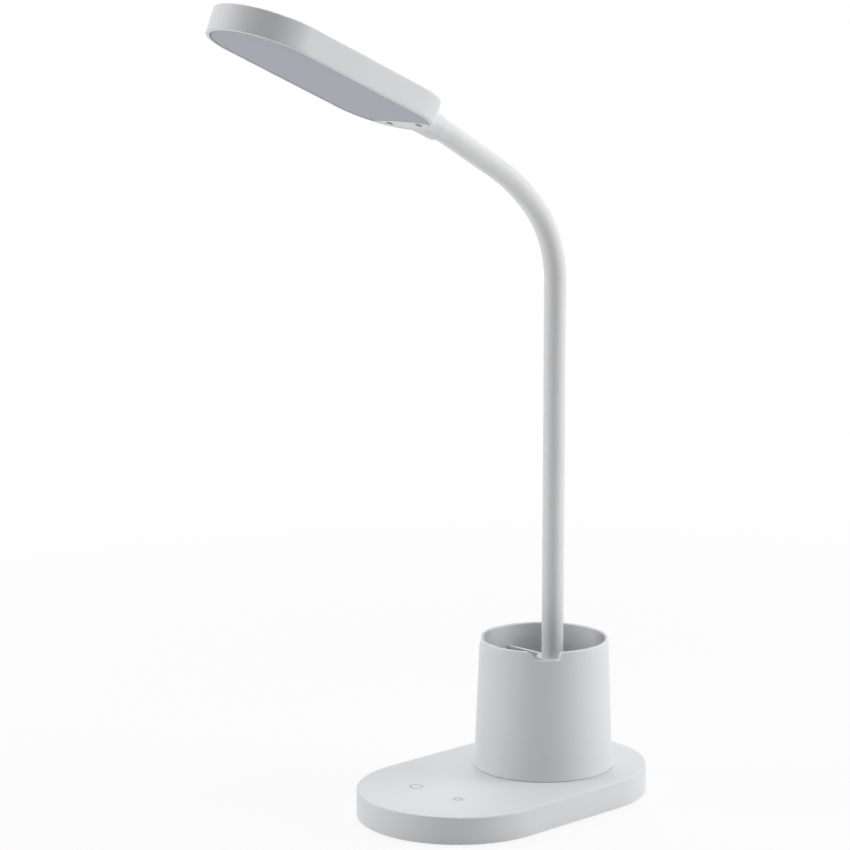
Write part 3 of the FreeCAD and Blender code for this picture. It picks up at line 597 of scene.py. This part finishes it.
def screwMesh(name, radius, length, settings):
    # pan head, thread and point turned about Z, head outwards to -Z, then a cross recess cut into the head
    high, shank, pitch = settings["high"], settings["shank"], settings["pitch"]
    root, groove, crest = shank * screwShape["root"], pitch * screwShape["groove"], pitch * screwShape["crest"]
    outline = [(0, 0)]
    for step in range(1, screwShape["domeSteps"] + 1):
        turn = math.radians(90 * step / screwShape["domeSteps"])
        outline.append((radius * math.sin(turn), high * screwShape["dome"] * (1 - math.cos(turn))))
    outline += [(radius, high * screwShape["rim"]), (radius * screwShape["underside"], high), (shank, high)]
    along, point = high + pitch / 2, screwShape["point"] * pitch
    while along < length - point - pitch:
        outline += [(root, along), (root, along + groove), (shank, along + crest)]
        along += pitch
    outline += [(root, length - point), (0, length)]
    work = bmesh.new()
    ring = [work.verts.new((r, 0, z)) for r, z in outline]
    edges = [work.edges.new(pair) for pair in zip(ring, ring[1:])]
    bmesh.ops.spin(work, geom=ring + edges, cent=(0, 0, 0), axis=(0, 0, 1), angle=2 * math.pi,
                   steps=screwShape["sides"], use_merge=True)
    mesh = bpy.data.meshes.new(name)
    work.to_mesh(mesh)
    work.free()
    orient(mesh)
    body = meshPiece(name + ".body", mesh, finishes["blackSteel"])
    cutter = crossCutter(name + ".cross", radius, high)
    cut = body.modifiers.new("recess", "BOOLEAN")
    cut.object = cutter
    cut.solver = "EXACT"
    bpy.context.view_layer.update()
    made = bpy.data.meshes.new_from_object(body.evaluated_get(bpy.context.evaluated_depsgraph_get()))
    bpy.data.objects.remove(body)
    bpy.data.objects.remove(cutter)
    orient(made)
    return made


def crossCutter(name, radius, high):
    # two crossed wedges that narrow towards the bottom of the recess
    work = bmesh.new()
    reach, half = radius * screwShape["crossReach"], radius * screwShape["crossWide"] / 2
    over, deep, keep = high * screwShape["crossOver"], high * screwShape["crossDeep"], screwShape["crossKeep"]
    lines = []
    for part, z in ((screwShape["crossTop"], -over), (screwShape["crossFoot"], deep)):
        r, h = reach * part, half * (keep + (1 - keep) * part)
        outline = [(r, -h), (r, h), (h, h), (h, r), (-h, r), (-h, h), (-r, h), (-r, -h), (-h, -h), (-h, -r),
                   (h, -r), (h, -h)]
        lines.append([work.verts.new((x, y, z)) for x, y in outline])
    top, bottom = lines
    work.faces.new(top)
    work.faces.new(bottom[::-1])
    for i in range(len(top)):
        j = (i + 1) % len(top)
        work.faces.new((top[j], top[i], bottom[i], bottom[j]))
    mesh = bpy.data.meshes.new(name)
    work.to_mesh(mesh)
    work.free()
    orient(mesh)
    return meshPiece(name, mesh, finishes["blackSteel"])


def screwTree():
    # one screw set on every point, all pointing the same way
    tree = Geometry("screwSet", {"Screw": "Object", "Turn": "Rotation"})
    one = tree.node("GeometryNodeObjectInfo", {}, {"Object": tree.source["Screw"]}, "Geometry")
    points = tree.node("GeometryNodeMeshToPoints", {}, {"Mesh": tree.source["Geometry"]})
    sockets = {"Points": points, "Instance": one, "Rotation": tree.source["Turn"]}
    tree.close(tree.node("GeometryNodeInstanceOnPoints", {}, sockets), finishes["blackSteel"])
    return tree


def makeScrews():
    tree = screwTree()
    for nodeName, settings in screws.items():
        tilt = math.radians(settings["tilt"])
        axis = Vector((0, math.sin(tilt), math.cos(tilt)))
        spots = solidSpots(nodeName, axis)
        radius, length = spots[0][1], spots[0][2]
        turned = screwMesh(nodeName + ".mesh", radius, length, settings)
        single = meshPiece(nodeName + ".single", turned, None)
        name = nodeName.replace("screws", "screw_set")
        turn = Vector((0, 0, 1)).rotation_difference(axis).to_euler()
        carrier = strokeMesh(name + ".points", [[spot[0]] for spot in spots])
        mesh = tree.run(name, carrier, {"Screw": single, "Turn": tuple(turn)})
        bpy.data.objects.remove(single)
        piece = meshPiece(name, mesh, finishes["blackSteel"], settings["body"])
        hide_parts(nodeName)
        print(name + ":", len(spots), "screws")


makeScrews()


view = {
    "azimuth": 45.885, "down": 10.01, "distance": 1.6, "lens": 124.0, "sensor": 36, "clipEnd": 30,
    "aimRight": -0.06453, "aimUp": 0.18464, "aimZ": 0.015,
}


def makeCamera():
    # back points from the aim to the camera, and the aim stands beside the part to frame it without a shift
    azimuth, down = math.radians(view["azimuth"]), math.radians(view["down"])
    back = Vector((math.sin(azimuth) * math.cos(down), -math.cos(azimuth) * math.cos(down), math.sin(down)))
    right = Vector((math.cos(azimuth), math.sin(azimuth), 0))
    up = back.cross(right)
    aim = Vector((0, 0, view["aimZ"])) + right * view["aimRight"] + up * view["aimUp"]
    camera = bpy.data.objects.new("camera", bpy.data.cameras.new("camera"))
    camera.data.lens = view["lens"]
    camera.data.sensor_width = view["sensor"]
    camera.data.clip_end = view["clipEnd"]
    turn = Matrix((right, up, back)).transposed()
    camera.matrix_world = Matrix.Translation(aim + back * view["distance"]) @ turn.to_4x4()
    bpy.context.scene.collection.objects.link(camera)
    bpy.context.scene.camera = camera


lamps = {
    # turn is counted from the camera's azimuth, positive to its right, and power is in watts
    "left": {"turn": -90, "rise": 15, "size": 0.9, "power": 8.9},
    "right": {"turn": 90, "rise": 15, "size": 0.9, "power": 11.5},
    "behind": {"turn": 180, "rise": 55, "size": 0.8, "power": 4.0},
    "top": {"turn": 0, "rise": 90, "size": 1.0, "power": 10.5},
}
lampAim = {"point": (0, -0.06, 0.2), "distance": 1.4}


def makeLamps():
    # soft square lamps on a sphere about the aim, all facing it
    aim = Vector(lampAim["point"])
    for name, settings in lamps.items():
        turn, rise = math.radians(view["azimuth"] + settings["turn"]), math.radians(settings["rise"])
        way = Vector((math.sin(turn) * math.cos(rise), -math.cos(turn) * math.cos(rise), math.sin(rise)))
        light = bpy.data.lights.new(name, "AREA")
        light.energy = settings["power"]
        light.size = settings["size"]
        lamp = bpy.data.objects.new(name, light)
        lamp.location = aim + way * lampAim["distance"]
        lamp.rotation_euler = (-way).to_track_quat("-Z", "Y").to_euler()
        bpy.context.scene.collection.objects.link(lamp)


stage = {
    "half": 8.0, "floorColour": (0.88, 0.88, 0.88), "paperRough": 0.9,
    "worldColour": (1.0, 1.0, 1.0), "worldStrength": 0.08,
    # how white the paper looks round the object, and where it fades to plain white, in metres from its middle
    "whiteNear": 0.86, "fadeFrom": 0.25, "fadeTo": 0.95,
}


def seenDirectly(owner):
    # 1 for what the camera sees straight, in a mirror or through glass
    path = owner.tree.nodes.new("ShaderNodeLightPath").outputs
    kinds = ("Is Camera Ray", "Is Glossy Ray", "Is Transmission Ray")
    camera, mirror, glass = [Value(owner, path[kind]) for kind in kinds]
    return camera.math("MAXIMUM", mirror).math("MAXIMUM", glass)


def makeWorld():
    world = bpy.data.worlds.new("studio")
    bpy.context.scene.world = world
    world.use_nodes = True
    sky = NodeTree(world.node_tree)
    lit = sky.tree.nodes["Background"]
    lit.inputs["Color"].default_value = (*stage["worldColour"], 1)
    lit.inputs["Strength"].default_value = stage["worldStrength"]
    white = sky.tree.nodes.new("ShaderNodeBackground")
    white.inputs["Color"].default_value = (1, 1, 1, 1)
    shown = sky.node("ShaderNodeMixShader", {}, {0: seenDirectly(sky), 1: Value(sky, lit.outputs[0]),
                                                 2: Value(sky, white.outputs[0])})
    sky.tree.links.new(shown.socket, sky.tree.nodes["World Output"].inputs["Surface"])


def makeFloor():
    # white paper: mostly plain white to the eye, all of it further off, and ordinary paper to the light
    paper = Finish("paper", Roughness=stage["paperRough"])
    paper.shader.inputs["Base Color"].default_value = (*stage["floorColour"], 1)
    away = paper.node("ShaderNodeVectorMath", {"operation": "LENGTH"}, [paper.place], "Value")
    sockets = {"Value": away, "From Min": stage["fadeFrom"], "From Max": stage["fadeTo"],
               "To Min": stage["whiteNear"], "To Max": 1.0}
    white = paper.node("ShaderNodeMapRange", {"interpolation_type": "SMOOTHSTEP"}, sockets)
    glow = paper.node("ShaderNodeEmission", {}, {"Color": (1, 1, 1, 1), "Strength": 1.0})
    shown = paper.node("ShaderNodeMixShader", {}, {0: seenDirectly(paper) * white,
                                                   1: Value(paper, paper.shader.outputs[0]), 2: glow})
    paper.tree.links.new(shown.socket, paper.tree.nodes["Material Output"].inputs["Surface"])
    half = stage["half"]
    mesh = bpy.data.meshes.new("floor")
    corners = [(-half, -half, 0), (half, -half, 0), (half, half, 0), (-half, half, 0)]
    mesh.from_pydata(corners, [], [(0, 1, 2, 3)])
    meshPiece("floor", mesh, paper.material)


makeCamera()
makeLamps()
makeWorld()
makeFloor()
bpy.context.scene.view_settings.view_transform = "Standard"
print("stage ready")
